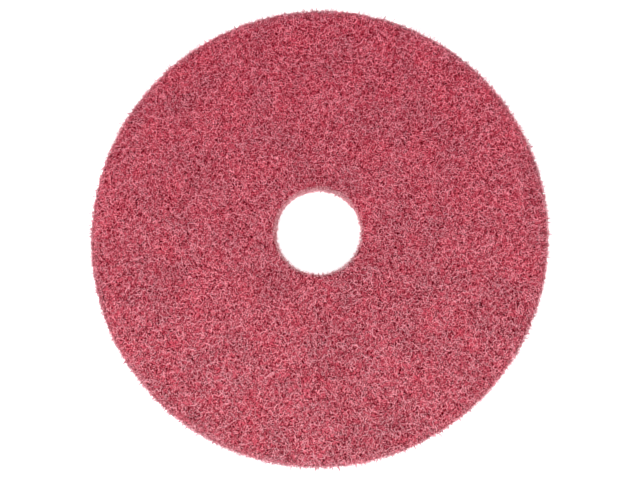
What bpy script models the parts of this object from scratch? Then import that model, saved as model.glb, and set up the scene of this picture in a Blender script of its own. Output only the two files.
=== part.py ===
"""Floor pad for a rotary floor machine: one round web of nonwoven fibre, die-cut with a hole at its middle.

The pad lies flat. Its working face rests on z = 0, its driver face points up, and the Z axis runs through
the middle of the hole. It is a single piece of web with no joint, seam or fastener in it.
"""

import math

import bpy

# Driving dimensions, in metres.
OUTER_DIAMETER = 0.432  # the 17 inch size of pad
HOLE_DIAMETER = 0.0825  # the usual 3 1/4 inch centre hole, which the driver's lock goes through
THICKNESS = 0.025  # a full-thickness pad
RIM_RADIUS = 0.002  # how far the cut corners of the soft web are rounded over

# How finely the turned shape is divided.
TURN_STEPS = 96
CORNER_POINTS = 4

COLLECTION_NAME = "floor_pad_for_rotary_machine"
WEB_COLOUR = (0.47, 0.09, 0.125, 1.0)


def clear_scene():
    """Take every object out of the open file, so that only the pad is left in it."""
    for old in list(bpy.data.objects):
        bpy.data.objects.remove(old, do_unlink=True)


def corner(middle_x, middle_z, start_degrees):
    """Points of a quarter circle about its middle, turned clockwise from the starting angle."""
    points = []
    for i in range(CORNER_POINTS):
        angle = math.radians(start_degrees - 90.0 * i / (CORNER_POINTS - 1))
        points.append((middle_x + RIM_RADIUS * math.cos(angle), 0.0, middle_z + RIM_RADIUS * math.sin(angle)))
    return points


def ring_profile():
    """The web's section on the +X side: down the outer wall, in along the working face, up the hole's wall."""
    outer_x = OUTER_DIAMETER / 2 - RIM_RADIUS
    inner_x = HOLE_DIAMETER / 2 + RIM_RADIUS
    low_z = RIM_RADIUS
    high_z = THICKNESS - RIM_RADIUS
    points = corner(outer_x, high_z, 90.0)
    points += corner(outer_x, low_z, 0.0)
    points += corner(inner_x, low_z, -90.0)
    points += corner(inner_x, high_z, -180.0)
    return points


def web_material():
    """Crimson fibre with a dull, dry surface."""
    material = bpy.data.materials.new("crimson_web")
    material.use_nodes = True
    shader = material.node_tree.nodes["Principled BSDF"]
    shader.inputs["Base Color"].default_value = WEB_COLOUR
    shader.inputs["Roughness"].default_value = 0.9
    shader.inputs["Metallic"].default_value = 0.0
    return material


def make_pad(collection):
    """Turn the section once about the Z axis into a closed ring."""
    points = ring_profile()
    count = len(points)
    mesh = bpy.data.meshes.new("floor_pad")
    mesh.from_pydata(points, [(i, (i + 1) % count) for i in range(count)], [])
    pad = bpy.data.objects.new("floor_pad", mesh)
    collection.objects.link(pad)
    turn = pad.modifiers.new("turn", "SCREW")
    turn.axis = "Z"
    turn.angle = math.tau
    turn.steps = TURN_STEPS
    turn.render_steps = TURN_STEPS
    turn.use_merge_vertices = True
    turn.merge_threshold = 0.00005
    turn.use_smooth_shade = True
    mesh.materials.append(web_material())
    return pad


clear_scene()
parts = bpy.data.collections.new(COLLECTION_NAME)
bpy.context.scene.collection.children.link(parts)
make_pad(parts)
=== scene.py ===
import math

import bpy
import numpy as np
from mathutils import Matrix, Vector


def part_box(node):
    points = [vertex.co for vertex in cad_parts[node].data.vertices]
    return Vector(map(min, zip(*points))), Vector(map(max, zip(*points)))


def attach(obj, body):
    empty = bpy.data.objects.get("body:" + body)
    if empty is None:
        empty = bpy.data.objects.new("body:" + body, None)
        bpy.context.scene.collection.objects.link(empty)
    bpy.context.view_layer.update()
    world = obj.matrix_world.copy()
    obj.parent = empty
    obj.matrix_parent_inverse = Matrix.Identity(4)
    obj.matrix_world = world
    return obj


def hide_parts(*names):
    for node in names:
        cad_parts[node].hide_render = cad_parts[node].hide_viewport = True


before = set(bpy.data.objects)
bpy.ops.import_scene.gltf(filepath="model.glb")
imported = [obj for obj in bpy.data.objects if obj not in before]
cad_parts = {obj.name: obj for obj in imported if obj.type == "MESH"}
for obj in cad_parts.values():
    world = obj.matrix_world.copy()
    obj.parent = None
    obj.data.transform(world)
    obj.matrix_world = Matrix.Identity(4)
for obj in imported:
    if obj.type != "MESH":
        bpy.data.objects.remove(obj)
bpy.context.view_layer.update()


# ---- The bonded body of the web ------------------------------------------------------------------------
# The middle of the pad: crimped nylon and polyester laid by air, pressed and bonded by sprayed resin until
# it stands 25 mm thick. It is the crimson mass that shows in the gaps between the threads, painted dark
# there as the shade in those gaps.

# The frame holds the pad as a flat ring on the floor. Its box gives the outline, the thickness and the
# centre, and the point of it that lies nearest to the axis gives the hole's radius.
pad_low, pad_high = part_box("floor_pad")
centre_x = (pad_low.x + pad_high.x) / 2
centre_y = (pad_low.y + pad_high.y) / 2
rim_radius = (pad_high.x - pad_low.x) / 2
face_height = pad_high.z
pad_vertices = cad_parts["floor_pad"].data.vertices
ring_points = np.empty(len(pad_vertices) * 3)
pad_vertices.foreach_get("co", ring_points)
ring_points = ring_points.reshape(-1, 3)
hole_radius = float(np.hypot(ring_points[:, 0] - centre_x, ring_points[:, 1] - centre_y).min())

# Every random choice is drawn from one seed, so each run lays the same web.
draw = np.random.default_rng(1717)

# The slow swells of the lay, the small tufts on top of them, and the slight oval that the relaxed web has
# drawn into, as a share of its radius.
SWELL_LENGTH = 0.055
SWELL_HEIGHT = 0.00030
TUFT_LENGTH = 0.012
TUFT_HEIGHT = 0.00020
OVAL_SHARE = 0.0046
OVAL_HEADING = math.radians(59)

# The plane waves that the swells and tufts are made of, each with its own heading, start and length.
WAVES = 48
wave_heading = draw.uniform(0, math.tau, WAVES)
wave_phase = draw.uniform(0, math.tau, WAVES)
wave_stretch = draw.uniform(0.7, 1.5, WAVES)

# The face falls away by these depths within these distances of its two cut edges.
RIM_BAND = 0.005
RIM_DROP = 0.0020
HOLE_BAND = 0.0035
HOLE_DROP = 0.0014

# The body stays this far inside the pad's own outline, so that the threads cover it. Its corners are
# rounded over, as the die leaves them.
BODY_GAP_AT_HOLE = 0.0009
BODY_GAP_AT_RIM = 0.0022
BODY_GAP_BELOW = 0.0012
BODY_GAP_ABOVE = 0.0016
BODY_CORNER = 0.002

# How finely the body is divided: round the axis, across a face and down a wall.
BODY_TURNS = 560
BODY_FACE_STEPS = 72
BODY_WALL_STEPS = 11

# The grain of the body: a nudge in or out, then pits and lumps, which also set its painted shade, darker
# in a pit and paler on a lump. Nothing of it lies lower than the gap at the floor.
BODY_NUDGE = 0.00030
PIT_SPREAD = 0.0005
PIT_DEEPEST = 0.0010
LUMP_HIGHEST = 0.0008
BODY_NEARNESS = 0.20
NEARNESS_PER_METRE = 260
FLOOR_GAP = 0.0004

# Painted bead highlights and abrasive grains, as cells to the metre, and how much each changes the shade.
BEAD_GLINT_SCALE = 900.0
BEAD_GLINT_DEPTH = 1.6
GRAIN_SCALE = 1100.0
GRAIN_DEPTH = 2.1
FLECK_LEVEL = 0.63

# What the patches of the lay multiply the colour by. Painted side light then makes the colour darker on the
# +Y side and paler on the -Y side, changing from this far on the +Y side to as far on the other. Near the
# cut rim the colour is painted towards a light rose over a band of radii, as painted light where the edge
# thins out.
GREY_PATCH = (0.80, 0.90, 0.88)
RED_PATCH = (1.03, 0.80, 0.84)
SHADED_SIDE_TINT = (1.0, 0.82, 0.88)
LIT_SIDE_TINT = (1.0, 1.12, 1.08)
SIDE_LIGHT_REACH = 0.2
EDGE_LIGHT_ROSE = (0.66, 0.34, 0.40)
EDGE_LIGHT_START = rim_radius - 0.009
EDGE_LIGHT_END = rim_radius + 0.001

# The body's painted shades by height, from the shaded pits to the lit bonded threads. The height is the
# level, less the painted pit shade of the net between its lines, plus the nearness by its weight, plus the
# flecks and glints.
BODY_LEVEL = -0.2
NET_SCALE = 560.0
NET_PIT_SHADE = 0.5
BODY_NEARNESS_WEIGHT = 0.45
BODY_SHADES = [(0.10, (0.07, 0.0, 0.003)), (0.35, (0.31, 0.012, 0.030)), (0.65, (0.64, 0.104, 0.150))]


def swell(x, y, length):
    """Soft random hills of about unit height: the sum of many plane waves, each of them the cosine of the
    distance along its own heading over its own length, and all of those lengths close to the given one. No
    hill is higher than two, and no hollow deeper."""
    total = np.zeros(np.shape(x))
    for heading, phase, stretch in zip(wave_heading, wave_phase, wave_stretch):
        along = x * math.cos(heading) + y * math.sin(heading)
        total += np.cos(along * (math.tau / (length * stretch)) + phase)
    return np.clip(total * math.sqrt(2 / WAVES), -2, 2)


def out_of_round(angle):
    """How far the web stands out of a true circle, as a share of its radius: the cosine of twice the angle
    from the oval's long axis."""
    return OVAL_SHARE * np.cos(2 * (angle - OVAL_HEADING))


def face_drop(radius):
    """How far the face falls away towards its two cut edges: the square of the way into an edge band."""
    into_rim = np.clip((radius - (rim_radius - RIM_BAND)) / RIM_BAND, 0, 1)
    into_hole = np.clip(((hole_radius + HOLE_BAND) - radius) / HOLE_BAND, 0, 1)
    return RIM_DROP * into_rim**2 + HOLE_DROP * into_hole**2


def relief(x, y):
    """The face's height above and below level: the slow swells of the lay plus the small tufts, which are
    the same hills at a shorter length and turned a quarter round."""
    return SWELL_HEIGHT * swell(x, y, SWELL_LENGTH) + TUFT_HEIGHT * swell(y, -x, TUFT_LENGTH)


def web_object(name, points, quads, triangles, nearness):
    """A piece from whole arrays: points in metres, four-cornered faces, then three-cornered ones. Each
    point keeps its nearness for the finish to read, which is 1 at the open face of the web and 0 deep
    inside it. The finishes paint shade by it, darker where it is low."""
    mesh = bpy.data.meshes.new(name)
    corners = np.concatenate([quads.ravel(), triangles.ravel()]).astype(np.int32)
    starts = np.concatenate([np.arange(len(quads)) * 4, len(quads) * 4 + np.arange(len(triangles)) * 3])
    mesh.vertices.add(len(points))
    mesh.vertices.foreach_set("co", points.astype(np.float32).ravel())
    mesh.loops.add(len(corners))
    mesh.loops.foreach_set("vertex_index", corners)
    mesh.polygons.add(len(starts))
    mesh.polygons.foreach_set("loop_start", starts.astype(np.int32))
    mesh.update(calc_edges=True)
    mesh.validate()
    mesh.shade_smooth()
    kept = mesh.attributes.new("nearness", "FLOAT", "POINT")
    kept.data.foreach_set("value", np.clip(nearness, 0, 1).astype(np.float32).ravel())
    made = bpy.data.objects.new(name, mesh)
    bpy.context.scene.collection.objects.link(made)
    return made


def ring_section(steps_face, steps_wall, inner, outer, low, high, corner):
    """The body's section as a closed run of (radius, height): out along the top, down the rim, in along the
    bottom and up the hole, a rectangle whose corners are pulled in along a quarter circle."""
    across = np.linspace(inner, outer, steps_face, endpoint=False)
    down = np.linspace(high, low, steps_wall, endpoint=False)
    radius = np.concatenate([across, np.full(steps_wall, outer), across[::-1] + (across[1] - across[0]),
                             np.full(steps_wall, inner)])
    height = np.concatenate([np.full(steps_face, high), down, np.full(steps_face, low),
                             down[::-1] + (down[1] - down[0])])
    middle_r = np.clip(radius, inner + corner, outer - corner)
    middle_z = np.clip(height, low + corner, high - corner)
    off_r, off_z = radius - middle_r, height - middle_z
    reach = np.maximum(np.hypot(off_r, off_z), 1e-9)
    pull = np.maximum(np.abs(off_r), np.abs(off_z)) / reach
    return middle_r + off_r * pull, middle_z + off_z * pull


def body_mesh():
    """The body's surface: the section carried once round the axis, out of round by a little, with the faces
    raised and sunk by the relief, and every point nudged by its own small random step."""
    section_r, section_z = ring_section(BODY_FACE_STEPS, BODY_WALL_STEPS,
                                        hole_radius + BODY_GAP_AT_HOLE, rim_radius - BODY_GAP_AT_RIM,
                                        BODY_GAP_BELOW, face_height - BODY_GAP_ABOVE, BODY_CORNER)
    angle = np.linspace(0, math.tau, BODY_TURNS, endpoint=False)[:, None]
    radius = section_r[None, :] * (1 + out_of_round(angle))
    radius = radius + draw.normal(0, BODY_NUDGE, radius.shape)
    x = centre_x + radius * np.cos(angle)
    y = centre_y + radius * np.sin(angle)
    upness = (section_z[None, :] - face_height / 2) / (face_height / 2)
    lift = np.clip(draw.normal(0, PIT_SPREAD, x.shape), -PIT_DEEPEST, LUMP_HIGHEST)
    z = section_z[None, :] - upness * face_drop(radius) + np.abs(upness) ** 3 * (relief(x, y) + lift)
    z = np.maximum(z, FLOOR_GAP)
    # Painted shade follows the pits and lumps: darker in a pit, paler on a lump.
    nearness = BODY_NEARNESS + lift * NEARNESS_PER_METRE
    points = np.stack([x, y, z], axis=-1).reshape(-1, 3)
    count = len(section_r)
    row = np.arange(BODY_TURNS)[:, None] * count
    next_row = (np.arange(BODY_TURNS)[:, None] + 1) % BODY_TURNS * count
    here = np.arange(count)[None, :]
    after = (here + 1) % count
    quads = np.stack([row + here, row + after, next_row + after, next_row + here], axis=-1)
    return web_object("web_body", points, quads.reshape(-1, 4), np.zeros((0, 3)), nearness)


def node(tree, kind, **values):
    """One shader node with its settings and the plain values of its inputs, whose names are given with
    underscores for their spaces."""
    made = tree.nodes.new(kind)
    for name, value in values.items():
        if hasattr(made, name) and name not in made.inputs:
            setattr(made, name, value)
        else:
            made.inputs[name.replace("_", " ")].default_value = value
    return made


def ramp(tree, source, stops):
    """A colour ramp over a value, from (place, colour) stops."""
    made = tree.nodes.new("ShaderNodeValToRGB")
    tree.links.new(source, made.inputs["Fac"])
    band = made.color_ramp
    while len(band.elements) > 1:
        band.elements.remove(band.elements[-1])
    band.elements[0].position, band.elements[0].color = stops[0][0], (*stops[0][1], 1)
    for place, colour in stops[1:]:
        band.elements.new(place).color = (*colour, 1)
    return made.outputs["Color"]


def share_ramp(tree, source, *stops):
    """A plain share over a value, from (place, share) stops."""
    return ramp(tree, source, [(place, (share, share, share)) for place, share in stops])


def blend_colours(tree, share, first, second, how="MIX"):
    """Mixes two colours, each of them a socket or a plain colour, by a share that is a socket or a number.
    On a mix of colours the share is input 0, the colours are inputs 6 and 7, and the result is output 2."""
    made = tree.nodes.new("ShaderNodeMix")
    made.data_type = "RGBA"
    made.blend_type = how
    for socket, value in ((made.inputs[0], share), (made.inputs[6], first), (made.inputs[7], second)):
        if isinstance(value, bpy.types.NodeSocket):
            tree.links.new(value, socket)
        elif isinstance(value, tuple):
            socket.default_value = (*value, 1)
        else:
            socket.default_value = value
    return made.outputs[2]


def sum_of(tree, base, *terms):
    """Adds up a plain number and (value, weight) terms: each value's socket times its own weight."""
    total = None
    for value, weight in terms:
        made = node(tree, "ShaderNodeMath", operation="MULTIPLY_ADD")
        tree.links.new(value, made.inputs[0])
        made.inputs[1].default_value = weight
        made.inputs[2].default_value = base
        if total:
            tree.links.new(total, made.inputs[2])
        total = made.outputs[0]
    return total


def flecks_and_glints(tree, place):
    """Painted bead highlights and grains of abrasive, each about a millimetre across. A resin bead shows
    only as a painted highlight, palest at its middle, so its shade falls with the distance from the middle
    of its cell. A grain has one random shade all over. The flecks are a level, less the bead's distance and
    plus the grain's shade, each by its depth."""
    bead_glints = node(tree, "ShaderNodeTexVoronoi", feature="F1", Scale=BEAD_GLINT_SCALE)
    grains = node(tree, "ShaderNodeTexVoronoi", feature="F1", Scale=GRAIN_SCALE)
    tree.links.new(place, bead_glints.inputs["Vector"])
    tree.links.new(place, grains.inputs["Vector"])
    return sum_of(tree, FLECK_LEVEL, (bead_glints.outputs["Distance"], -BEAD_GLINT_DEPTH),
                  (grains.outputs["Color"], GRAIN_DEPTH))


def patches_and_painted_light(tree, place, colour):
    """The dye and resin lie unevenly. Patches some 20 to 40 mm across turn greyer and others turn redder,
    both from slow noise. Painted side light then makes the colour paler towards -Y and darker towards +Y.
    And a band along the cut rim is painted paler, as painted light where the edge thins out, by the distance
    from the axis."""
    grey = node(tree, "ShaderNodeTexNoise", Scale=30.0, Detail=1.2, Roughness=0.5)
    tree.links.new(place, grey.inputs["Vector"])
    grey_share = share_ramp(tree, grey.outputs["Fac"], (0.46, 0), (0.68, 0.55))
    greyed = blend_colours(tree, grey_share, colour, GREY_PATCH, "MULTIPLY")

    shifted = node(tree, "ShaderNodeMapping", Location=(3.1, 1.7, 0.4))
    tree.links.new(place, shifted.inputs["Vector"])
    red = node(tree, "ShaderNodeTexNoise", Scale=38.0, Detail=1.0, Roughness=0.4)
    tree.links.new(shifted.outputs["Vector"], red.inputs["Vector"])
    red_share = share_ramp(tree, red.outputs["Fac"], (0.44, 0), (0.66, 0.6))
    reddened = blend_colours(tree, red_share, greyed, RED_PATCH, "MULTIPLY")

    # Painted side light: paler towards -Y and darker towards +Y, by the Y coordinate.
    parts = node(tree, "ShaderNodeSeparateXYZ")
    tree.links.new(place, parts.inputs["Vector"])
    towards_lit_side = node(tree, "ShaderNodeMapRange", From_Min=SIDE_LIGHT_REACH, From_Max=-SIDE_LIGHT_REACH)
    tree.links.new(parts.outputs["Y"], towards_lit_side.inputs["Value"])
    side_tint = blend_colours(tree, towards_lit_side.outputs["Result"], SHADED_SIDE_TINT, LIT_SIDE_TINT)
    side_lit = blend_colours(tree, 1.0, reddened, side_tint, "MULTIPLY")

    # Painted light along the cut rim: a band of radii turns towards a light rose.
    flat = node(tree, "ShaderNodeVectorMath", operation="MULTIPLY")
    flat.inputs[1].default_value = (1, 1, 0)
    tree.links.new(place, flat.inputs[0])
    from_axis = node(tree, "ShaderNodeVectorMath", operation="LENGTH")
    tree.links.new(flat.outputs["Vector"], from_axis.inputs[0])
    into_edge = node(tree, "ShaderNodeMapRange", From_Min=EDGE_LIGHT_START, From_Max=EDGE_LIGHT_END)
    tree.links.new(from_axis.outputs["Value"], into_edge.inputs["Value"])
    edge_share = share_ramp(tree, into_edge.outputs["Result"], (0.0, 0), (0.5, 0.12), (1.0, 0.42))
    return blend_colours(tree, edge_share, side_lit, EDGE_LIGHT_ROSE)


def dull_surface(tree, place, height, bump, noise, roughness):
    """A dull dry surface: bumps that follow the height, by a strength and a depth in metres, a roughness
    that wanders between two values with the noise, and no gloss at all."""
    shader = tree.nodes["Principled BSDF"]
    raised = node(tree, "ShaderNodeBump", Strength=bump[0], Distance=bump[1])
    tree.links.new(height, raised.inputs["Height"])
    tree.links.new(raised.outputs["Normal"], shader.inputs["Normal"])
    tree.links.new(place, noise.inputs["Vector"])
    rough = node(tree, "ShaderNodeMapRange", To_Min=roughness[0], To_Max=roughness[1])
    tree.links.new(noise.outputs["Fac"], rough.inputs["Value"])
    tree.links.new(rough.outputs["Result"], shader.inputs["Roughness"])
    shader.inputs["Specular IOR Level"].default_value = 0.0


def body_finish():
    """Dull crimson resin-bound fibre: a net of thin rose threads over pits painted dark as shade. The net's
    lines run where the distance to the edges of the cells is small, and the higher parts of the web are
    painted paler, as painted shade that darkens the lower ones."""
    material = bpy.data.materials.new("bonded_web")
    material.use_nodes = True
    tree = material.node_tree
    place = node(tree, "ShaderNodeTexCoord").outputs["Object"]
    near = node(tree, "ShaderNodeAttribute", attribute_name="nearness").outputs["Fac"]
    # Painted shade: the middles of the net's cells are the dark pits.
    net = node(tree, "ShaderNodeTexVoronoi", feature="DISTANCE_TO_EDGE", Scale=NET_SCALE)
    tree.links.new(place, net.inputs["Vector"])
    height = sum_of(tree, BODY_LEVEL, (net.outputs["Distance"], -NET_PIT_SHADE), (near, BODY_NEARNESS_WEIGHT),
                    (flecks_and_glints(tree, place), 1.0))
    colour = patches_and_painted_light(tree, place, ramp(tree, height, BODY_SHADES))
    tree.links.new(colour, tree.nodes["Principled BSDF"].inputs["Base Color"])
    noise = node(tree, "ShaderNodeTexNoise", Scale=420.0, Detail=1.0, Roughness=0.5)
    dull_surface(tree, place, height, (0.8, 0.0006), noise, (0.6, 0.95))
    return material


body = body_mesh()
body.data.materials.append(body_finish())
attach(body, "root")
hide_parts("floor_pad")


# ---- The threads of the driver face --------------------------------------------------------------------
# Crimped synthetic threads about half a millimetre thick with their resin coat. Each one comes up out of the
# web, curls in the face for a few millimetres and goes down again. The die cut them at the rim and the hole.

GOLDEN_ANGLE = math.pi * (3 - math.sqrt(5))

# How a thread curls: its bend in radians to the metre, and the swing and the length of its crimp. Each kept
# step of a path is worked out as several fine ones, and a cut thread keeps a few of them on each side.
BEND_SPREAD = 130.0
CRIMP_SWING = (0.6, 1.4)
CRIMP_LENGTH = (0.006, 0.011)
FINE_STEPS = 6
SHORTEST_SIDE = 2

# Where the middles of the threads may lie, and how far each moves from its even place, in spacings.
MIDDLE_GAP_AT_HOLE = 0.0009
MIDDLE_GAP_AT_RIM = 0.0018
JITTER = 0.33

# A thread thins at its ends from full size to this share of it, along this slope. Its size differs from
# the next one's, and varies a little along it.
END_SHARE = 0.5
END_SLOPE = 5
THREAD_SIZES = (0.8, 1.2)
THREAD_WAVER = (0.88, 1.12)

# Where the die cuts the threads: just inside the rim and a little way into the hole, by a fray of their own.
CUT_INSIDE_RIM = 0.0003
CUT_INTO_HOLE = 0.0007
FRAY = 0.0006
HOLE_FRAY_SHARE = 0.6

# How far one end of a thread lies above the other by chance, and how near the floor a thread may come.
THREAD_TILT = 0.0002
THREAD_FLOOR_GAP = 0.0001

# A thread's painted shade: darker by its depth in the face, varying by chance, and paler near the two cut
# edges as painted light. The two lower corners of its section are painted a little darker than the top
# one, as shade on its underside.
FACE_SHADE_DEPTH = 0.0022
FACE_SHADE_SPREAD = 0.10
RIM_PALE_BAND = 0.008
HOLE_PALE_BAND = 0.004
EDGE_PALING = 0.40
LOWER_CORNER_SHADE = 0.15

# A thread's painted shades by height, which is the level, plus the nearness by its weight, plus a share of
# the flecks and glints. The flecks' mean is taken off, so that a smaller share of them leaves the shade as
# it is. The crimson shades are a darker copy for the deepest threads, as painted shade, and the pale shades
# a lighter copy for the thin threads near the open face, as painted highlights.
THREAD_LEVEL = 0.54
NEARNESS_WEIGHT = 0.35
FLECK_MEAN = 0.8
CRIMSON_SHADES = [(0.15, (0.09, 0.0, 0.003)), (0.45, (0.31, 0.011, 0.028)), (0.75, (0.55, 0.080, 0.118))]
ROSE_SHADES = [(0.25, (0.13, 0.0, 0.005)), (0.45, (0.37, 0.016, 0.038)), (0.65, (0.66, 0.104, 0.152)),
               (0.95, (1.0, 0.38, 0.46))]
PALE_SHADES = [(0.25, (0.28, 0.010, 0.030)), (0.45, (0.62, 0.10, 0.150)), (0.80, (1.0, 0.42, 0.50))]


def curls(count, steps, step_length, heading_spread=math.pi):
    """Flat thread paths with their middles at the origin: the heading turns by a steady bend and a wave of
    crimp, and the path is the running sum of short steps along it. Returns x, y, the heading, and the place
    along the thread from -1 to 1, each of them count by fine steps."""
    points = steps * FINE_STEPS + 1
    middle = points // 2
    fine_step = step_length / FINE_STEPS
    along = (np.arange(points)[None, :] - middle) * fine_step
    start = draw.uniform(-heading_spread, heading_spread, (count, 1))
    bend = draw.normal(0, BEND_SPREAD, (count, 1))
    crimp = draw.uniform(*CRIMP_SWING, (count, 1))
    crimp_length = draw.uniform(*CRIMP_LENGTH, (count, 1))
    phase = draw.uniform(0, math.tau, (count, 1))
    heading = start + bend * along + crimp * np.sin(math.tau * along / crimp_length + phase)
    x = np.cumsum(np.cos(heading) * fine_step, axis=1)
    y = np.cumsum(np.sin(heading) * fine_step, axis=1)
    place = np.broadcast_to(np.linspace(-1, 1, points), x.shape)
    return x - x[:, middle:middle + 1], y - y[:, middle:middle + 1], heading, place


def cut_to(inside, steps, *paths):
    """Keeps the run of each thread that holds its middle and stays inside the web, and spreads its few kept
    points evenly over that run, so that a cut thread ends on the cut."""
    points = inside.shape[1]
    middle = points // 2
    index = np.arange(points)[None, :]
    first = np.where(inside, -1, index)[:, :middle].max(axis=1) + 1
    last = np.where(inside, points, index)[:, middle + 1:].min(axis=1) - 1
    first = np.minimum(first, middle - SHORTEST_SIDE)[:, None]
    last = np.maximum(last, middle + SHORTEST_SIDE)[:, None]
    keep = np.rint(first + np.linspace(0, 1, steps + 1)[None, :] * (last - first)).astype(int)
    return [np.take_along_axis(path, keep, axis=1) for path in paths]


def tubes(name, points, side, up, half_width, half_height, nearness):
    """Closed three-sided tubes along many paths at once. Each point of a path carries a ring of three
    corners, at 90, 210 and 330 degrees between the side and up directions, and each end has its own cap."""
    threads, length = points.shape[:2]
    turn = np.radians([90.0, 210.0, 330.0])
    ring = (points[:, :, None, :]
            + side[:, :, None, :] * (np.cos(turn)[None, None, :] * half_width[..., None])[..., None]
            + up[:, :, None, :] * (np.sin(turn)[None, None, :] * half_height[..., None])[..., None])
    # Painted shade: the two lower corners darker than the top one.
    corner_shade = np.array([0.0, LOWER_CORNER_SHADE, LOWER_CORNER_SHADE])
    corner_nearness = nearness[:, :, None] - corner_shade[None, None, :]
    first = np.arange(threads)[:, None, None] * length * 3 + np.arange(length - 1)[None, :, None] * 3
    here = np.arange(3)[None, None, :]
    after = (here + 1) % 3
    quads = np.stack([first + here, first + after, first + after + 3, first + here + 3], axis=-1)
    start = np.arange(threads) * length * 3
    end = start + (length - 1) * 3
    caps = np.concatenate([np.stack([start + 2, start + 1, start], axis=-1),
                           np.stack([end, end + 1, end + 2], axis=-1)])
    return web_object(name, ring.reshape(-1, 3), quads.reshape(-1, 4), caps, corner_nearness)


def taper(shape, half_size):
    """A thread's half size along its length: thinner at both ends and a little uneven between them."""
    place = np.linspace(0, 1, shape[1])[None, :]
    ends = np.clip(np.minimum(place, 1 - place) * END_SLOPE + END_SHARE, 0, 1)
    own_size = draw.uniform(*THREAD_SIZES, (shape[0], 1))
    return half_size * ends * own_size * draw.uniform(*THREAD_WAVER, shape)


def even_places(count):
    """Places spread evenly over the ring, as seeds in a sunflower: each turns on from the last by the golden
    angle, and its radius grows so that all have the same area. Each then moves by its own small jitter."""
    share = (np.arange(count) + 0.5) / count
    inner = hole_radius + MIDDLE_GAP_AT_HOLE
    outer = rim_radius - MIDDLE_GAP_AT_RIM
    radius = np.sqrt(inner**2 + share * (outer**2 - inner**2))
    spacing = math.sqrt(math.pi * (outer**2 - inner**2) / count)
    angle = np.arange(count) * GOLDEN_ANGLE + draw.uniform(0, math.tau)
    angle = angle + draw.normal(0, JITTER, count) * spacing / radius
    radius = np.clip(radius + draw.normal(0, JITTER, count) * spacing, inner, outer)
    radius = radius * (1 + out_of_round(angle))
    return (radius * np.cos(angle))[:, None], (radius * np.sin(angle))[:, None]


def face_threads(name, count, steps, step_length, depth, spread, sag, half_width, half_height, top=True):
    """Threads in one face: each curls about its own place and arches, with its middle at its own depth below
    the face and its two ends deeper by the sag, as the square of the place along it."""
    x, y, heading, place = curls(count, steps, step_length)
    middle_x, middle_y = even_places(count)
    x = x + middle_x
    y = y + middle_y
    radius = np.hypot(x, y)
    fray = np.abs(draw.normal(0, FRAY, (count, 1)))
    outer = (rim_radius - CUT_INSIDE_RIM - fray) * (1 + out_of_round(np.arctan2(y, x)))
    inner = hole_radius - CUT_INTO_HOLE + HOLE_FRAY_SHARE * fray
    x, y, heading, place = cut_to((radius < outer) & (radius > inner), steps, x, y, heading, place)
    radius = np.hypot(x, y)
    own_depth = depth + spread * draw.uniform(-1, 1, (count, 1))
    below = own_depth + sag * place**2 + draw.normal(0, THREAD_TILT, (count, 1)) * place
    level = relief(x, y) - face_drop(radius) - below
    z = face_height + level if top else -level
    z = np.maximum(z, half_height + THREAD_FLOOR_GAP)
    points = np.stack([x + centre_x, y + centre_y, z], axis=-1)
    flat = np.zeros_like(x)
    side = np.stack([-np.sin(heading), np.cos(heading), flat], axis=-1)
    up = np.stack([flat, flat, flat + 1], axis=-1)
    # Painted shade by depth and chance, and painted light near the two cut edges.
    near_rim = np.clip((radius - (rim_radius - RIM_PALE_BAND)) / RIM_PALE_BAND, 0, 1)
    near_hole = np.clip((hole_radius + HOLE_PALE_BAND - radius) / HOLE_PALE_BAND, 0, 1)
    by_chance = draw.normal(0, FACE_SHADE_SPREAD, (count, 1))
    nearness = 1 - below / FACE_SHADE_DEPTH + by_chance + EDGE_PALING * (near_rim + near_hole)
    return tubes(name, points, side, up, taper(x.shape, half_width), taper(x.shape, half_height), nearness)


def thread_finish(name, shades, roughness=0.55, fleck_share=1.0):
    """Dyed thread in a dull coat of resin, painted with shade: pale where it stands at the open face and
    darker further down in the web. It is flecked by grains and by painted bead highlights, greyer or redder
    with the patches of the lay, and painted with side light and with light along the cut rim."""
    material = bpy.data.materials.new(name)
    material.use_nodes = True
    tree = material.node_tree
    place = node(tree, "ShaderNodeTexCoord").outputs["Object"]
    near = node(tree, "ShaderNodeAttribute", attribute_name="nearness").outputs["Fac"]
    height = sum_of(tree, THREAD_LEVEL - FLECK_MEAN * fleck_share, (near, NEARNESS_WEIGHT),
                    (flecks_and_glints(tree, place), fleck_share))
    colour = patches_and_painted_light(tree, place, ramp(tree, height, shades))
    tree.links.new(colour, tree.nodes["Principled BSDF"].inputs["Base Color"])
    noise = node(tree, "ShaderNodeTexNoise", Scale=300.0, Detail=2.0, Roughness=0.6)
    dull_surface(tree, place, height, (0.5, 0.0003), noise, (roughness - 0.2, roughness + 0.25))
    return material


def finish_piece(piece, material):
    """Gives a group of threads its finish and sets it on the pad."""
    piece.data.materials.append(material)
    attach(piece, "root")


THREADS_IN_GROUP = 6100
# The crimson finish paints shade on the deepest threads, and the pale finish paints highlights on the thin
# threads near the open face.
shaded_crimson_thread = thread_finish("shaded_crimson_thread", CRIMSON_SHADES)
rose_thread = thread_finish("rose_thread", ROSE_SHADES)
highlit_pale_thread = thread_finish("highlit_pale_thread", PALE_SHADES, roughness=0.45, fleck_share=0.45)

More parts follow.
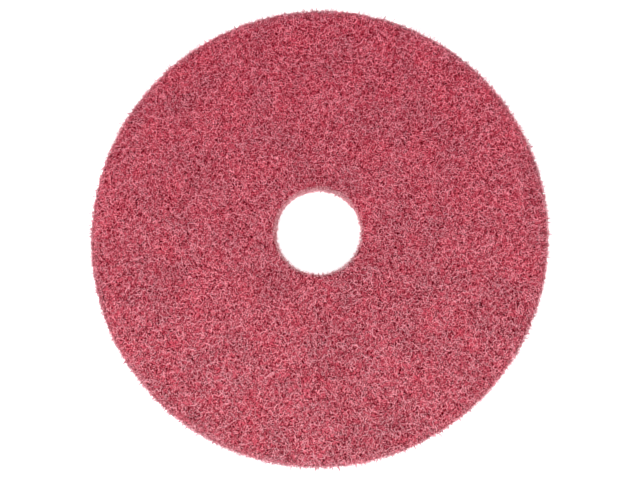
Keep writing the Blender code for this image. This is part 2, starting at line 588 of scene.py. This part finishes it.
finish_piece(face_threads("driver_face_threads_deep", THREADS_IN_GROUP, steps=5, step_length=0.0015,
                          depth=0.0013, spread=0.0003, sag=0.0008,
                          half_width=0.00034, half_height=0.00022), shaded_crimson_thread)
finish_piece(face_threads("driver_face_threads_middle", THREADS_IN_GROUP, steps=5, step_length=0.0014,
                          depth=0.0007, spread=0.0003, sag=0.0012,
                          half_width=0.00032, half_height=0.00022), rose_thread)
finish_piece(face_threads("driver_face_threads_upper", THREADS_IN_GROUP, steps=5, step_length=0.0014,
                          depth=0.0003, spread=0.0003, sag=0.0014,
                          half_width=0.00032, half_height=0.00022), rose_thread)
finish_piece(face_threads("driver_face_threads_top", THREADS_IN_GROUP, steps=5, step_length=0.0013,
                          depth=0.0001, spread=0.0002, sag=0.0014,
                          half_width=0.00032, half_height=0.00022), rose_thread)
finish_piece(face_threads("driver_face_threads_pale", 2600, steps=12, step_length=0.0010,
                          depth=-0.0001, spread=0.0002, sag=0.0006,
                          half_width=0.00026, half_height=0.00020), highlit_pale_thread)


# ---- The threads of the working face -------------------------------------------------------------------
# The same web from below, in the same crimped thread and resin. It rests on the floor, so none of its
# threads goes lower than that, and fewer but longer ones fill it, because the floor hides it.

finish_piece(face_threads("working_face_threads_deep", 5000, steps=5, step_length=0.0017,
                          depth=0.0010, spread=0.0003, sag=0.0008,
                          half_width=0.00036, half_height=0.00022, top=False), shaded_crimson_thread)
finish_piece(face_threads("working_face_threads_outer", THREADS_IN_GROUP, steps=5, step_length=0.0017,
                          depth=0.0004, spread=0.0003, sag=0.0012,
                          half_width=0.00036, half_height=0.00022, top=False), rose_thread)
finish_piece(face_threads("working_face_threads_pale", 1500, steps=12, step_length=0.0010,
                          depth=0.0003, spread=0.0002, sag=0.0006,
                          half_width=0.00026, half_height=0.00020, top=False), highlit_pale_thread)


# ---- The threads of the cut rim and of the hole's wall -------------------------------------------------
# The die leaves a wall of layered, mostly level threads, with their cut ends standing out as a short fuzz.
# These walls are paler than the faces, the hole's most.

# The threads of a wall: where they lie between the faces, how far they lean from level, the least depth
# that they lie at, how they crowd towards the inside, and the arch of each one.
WALL_GAP_BELOW = 0.0007
WALL_GAP_ABOVE = 0.0008
WALL_STEPS = 5
WALL_STEP_LENGTH = 0.0016
WALL_LEAN = 0.75
WALL_LEAST_DEPTH = 0.0007
WALL_CROWDING = 0.4
WALL_ARCH = 0.0010
WALL_TUCK = 0.0020
LAYER_SHARE = 0.618034

# A wall's thread has painted shade: darker by its depth, varying by chance, and in the hole also paler the
# lower it lies.
WALL_NEARNESS = 1.4
WALL_SHADE_DEPTH = 0.0028
WALL_SHADE_SPREAD = 0.25
HOLE_PALING = 0.5
HOLE_PALING_FALL = 0.8

# The fuzz: each end is rooted this far inside its wall and this far from either face, and leans sideways
# and up or down by chance. Most ends are short. Their painted shade lightens towards their tips and is
# darker on the rim.
END_ROOT = 0.0012
END_GAP = 0.0012
END_LEAN = 0.0010
END_CURVE = 0.0004
END_RISE = 0.0004
END_TUCK = 0.0012
END_SHORTEST = 0.2
END_SHORTNESS = 3.0
END_HALF_WIDTH = 0.00030
END_SIZES = (0.7, 1.2)
END_NEARNESS = 0.5
END_TIP_PALING = 0.3
END_RIM_SHADE = 0.30

# A wall tucks in over the last part of the way from its middle height to either face.
TUCK_START = 0.78
TUCK_BAND = 0.22

# The walls' painted shades, from shaded to lit, by height.
CUT_SHADES = [(0.25, (0.28, 0.015, 0.038)), (0.50, (0.62, 0.115, 0.165)), (0.85, (0.95, 0.42, 0.49))]
HOLE_SHADES = [(0.15, (0.38, 0.025, 0.055)), (0.50, (0.76, 0.18, 0.23)), (0.95, (0.97, 0.66, 0.70))]


def tuck_in(z, depth):
    """How far a wall pulls in near its two faces: the depth times the square of the way into the tucked
    part."""
    edge = np.abs(z - face_height / 2) / (face_height / 2)
    return depth * np.clip((edge - TUCK_START) / TUCK_BAND, 0, 1) ** 2


def on_wall(turn, radius, z, outward):
    """Points on an upright round wall, and two directions at each of them: round the wall and up it. The rim
    is out of round as the faces are, and the hole is a true circle."""
    radius = radius * (1 + (out_of_round(turn) if outward > 0 else 0))
    cos, sin, flat = np.cos(turn), np.sin(turn), np.zeros_like(turn)
    points = np.stack([centre_x + radius * cos, centre_y + radius * sin, z], axis=-1)
    round_way = np.stack([-sin, cos, flat], axis=-1)
    upright = np.stack([flat, flat, flat + 1], axis=-1)
    return points, round_way, upright


def wall_threads(name, count, wall_radius, depth, outward, half_width, half_height):
    """Threads lying in an upright round wall: the flat curls are wound on a cylinder, with the first
    direction round it and the second one up. Each lies the golden share of the height above the last, and
    starts again from the bottom. Outward is 1 on the rim, and -1 in the hole."""
    low, high = WALL_GAP_BELOW, face_height - WALL_GAP_ABOVE
    x, y, heading, place = curls(count, WALL_STEPS, WALL_STEP_LENGTH, heading_spread=WALL_LEAN)
    middle_z = low + (high - low) * (np.arange(count)[:, None] * LAYER_SHARE % 1)
    middle_turn = np.arange(count)[:, None] * math.tau / count
    z = middle_z + y
    x, z, heading, place = cut_to((z > low) & (z < high), WALL_STEPS, x, z, heading, place)
    turn = middle_turn + x / wall_radius
    crowded = draw.uniform(0, 1, (count, 1)) ** WALL_CROWDING
    below = WALL_LEAST_DEPTH + (depth - WALL_LEAST_DEPTH) * crowded + WALL_ARCH * place**2
    radius = wall_radius - outward * (below + tuck_in(z, WALL_TUCK))
    points, round_way, upright = on_wall(turn, radius, z, outward)
    away = np.cross(round_way, upright)
    side = -np.sin(heading)[..., None] * round_way + np.cos(heading)[..., None] * upright
    # Painted shade by depth and chance.
    by_chance = draw.normal(0, WALL_SHADE_SPREAD, (count, 1))
    towards_floor = (1 - outward) * (HOLE_PALING - HOLE_PALING_FALL * z / face_height)
    nearness = WALL_NEARNESS - below / WALL_SHADE_DEPTH + by_chance + towards_floor
    return tubes(name, points, side, away, taper(x.shape, half_width), taper(x.shape, half_height), nearness)


def cut_ends(name, count, wall_radius, outward, reach):
    """The fuzz of a cut wall: short thin ends that start just inside it and lean out of it, each its own
    way, by up to the reach. Each has three points, and is thinner at its tip. They follow one another
    round the wall by the golden angle."""
    turn = np.arange(count)[:, None] * GOLDEN_ANGLE
    z = END_GAP + (face_height - 2 * END_GAP) * draw.uniform(0, 1, (count, 1))
    length = reach * draw.uniform(END_SHORTEST, 1, (count, 1)) ** END_SHORTNESS
    along = np.array([[0.0, 0.55, 1.0]])
    out = (length + END_ROOT) * along - END_ROOT
    aside = draw.normal(0, END_LEAN, (count, 1)) * along + draw.normal(0, END_CURVE, (count, 1)) * along**2
    rise = draw.normal(0, END_RISE, (count, 1)) * along
    turn = turn + aside / wall_radius
    radius = wall_radius + outward * (out - tuck_in(z, END_TUCK))
    points, round_way, upright = on_wall(turn, radius, np.maximum(z + rise, FLOOR_GAP), outward)
    size = END_HALF_WIDTH * np.array([[1.0, 1.0, 0.6]]) * draw.uniform(*END_SIZES, (count, 1))
    nearness = END_NEARNESS - END_RIM_SHADE * outward + END_TIP_PALING * np.broadcast_to(along, size.shape)
    return tubes(name, points, round_way * outward, upright, size, size * 0.8, nearness)


cut_thread = thread_finish("cut_thread", CUT_SHADES)
hole_thread = thread_finish("hole_thread", HOLE_SHADES)
finish_piece(wall_threads("rim_threads", THREADS_IN_GROUP, rim_radius + 0.0001, depth=0.0024, outward=1,
                          half_width=0.00034, half_height=0.00024), cut_thread)
finish_piece(wall_threads("hole_wall_threads", 1200, hole_radius - 0.0020, depth=0.0028, outward=-1,
                          half_width=0.00032, half_height=0.00022), hole_thread)
finish_piece(cut_ends("rim_cut_ends", 7000, rim_radius - 0.0004, outward=1, reach=0.0046), cut_thread)
finish_piece(cut_ends("hole_cut_ends", 1400, hole_radius - 0.0004, outward=-1, reach=0.0029), hole_thread)


# ---- The floor, the light and the camera ---------------------------------------------------------------
# A plain white floor that glows a little, as on a light table, an even white room, and one large soft lamp.
# The camera looks down from a little to one side, at 0.6 m above the face.

FLOOR_SIZE = 8.0
FLOOR_LEVEL = -0.0002
FLOOR_GLOW = 0.6
ROOM_LIGHT = 1.01
LAMP_SIZE = 0.9
LAMP_WATTS = 14.2
LAMP_PLACE = (-0.30, -0.95, 0.85)
EYE_FROM_CENTRE = (0.0138, -0.0682, 0.600)
AIM_FROM_CENTRE = (0.0018, -0.0084, 0.0)
LENS = 36.4

bpy.ops.mesh.primitive_plane_add(size=FLOOR_SIZE, location=(0, 0, FLOOR_LEVEL))
floor = bpy.context.object
floor.name = "floor"
white = bpy.data.materials.new("white_floor")
white.use_nodes = True
white_shader = white.node_tree.nodes["Principled BSDF"]
white_shader.inputs["Base Color"].default_value = (0.9, 0.9, 0.9, 1)
white_shader.inputs["Roughness"].default_value = 0.9
white_shader.inputs["Emission Color"].default_value = (1, 1, 1, 1)
white_shader.inputs["Emission Strength"].default_value = FLOOR_GLOW
floor.data.materials.append(white)

world = bpy.data.worlds.new("room")
bpy.context.scene.world = world
world.use_nodes = True
world.node_tree.nodes["Background"].inputs["Color"].default_value = (1, 1, 1, 1)
world.node_tree.nodes["Background"].inputs["Strength"].default_value = ROOM_LIGHT

lamp_data = bpy.data.lights.new("soft_lamp", "AREA")
lamp_data.shape = "RECTANGLE"
lamp_data.size = LAMP_SIZE
lamp_data.size_y = LAMP_SIZE
lamp_data.energy = LAMP_WATTS
lamp = bpy.data.objects.new("soft_lamp", lamp_data)
lamp.location = LAMP_PLACE
lamp.rotation_mode = "QUATERNION"
lamp.rotation_quaternion = (Vector((0, 0, 0)) - lamp.location).to_track_quat("-Z", "Y")
bpy.context.scene.collection.objects.link(lamp)

camera_data = bpy.data.cameras.new("camera")
camera_data.sensor_width = 36.0
camera_data.lens = LENS
camera_data.clip_start = 0.01
camera = bpy.data.objects.new("camera", camera_data)
bpy.context.scene.collection.objects.link(camera)
bpy.context.scene.camera = camera
face_middle = Vector((centre_x, centre_y, face_height))
eye = face_middle + Vector(EYE_FROM_CENTRE)
aim = face_middle + Vector(AIM_FROM_CENTRE)
back = (eye - aim).normalized()
right = Vector((0, 1, 0)).cross(back).normalized()
camera.matrix_world = Matrix((right, back.cross(right), back)).transposed().to_4x4()
camera.location = eye

bpy.context.scene.view_settings.view_transform = "Standard"
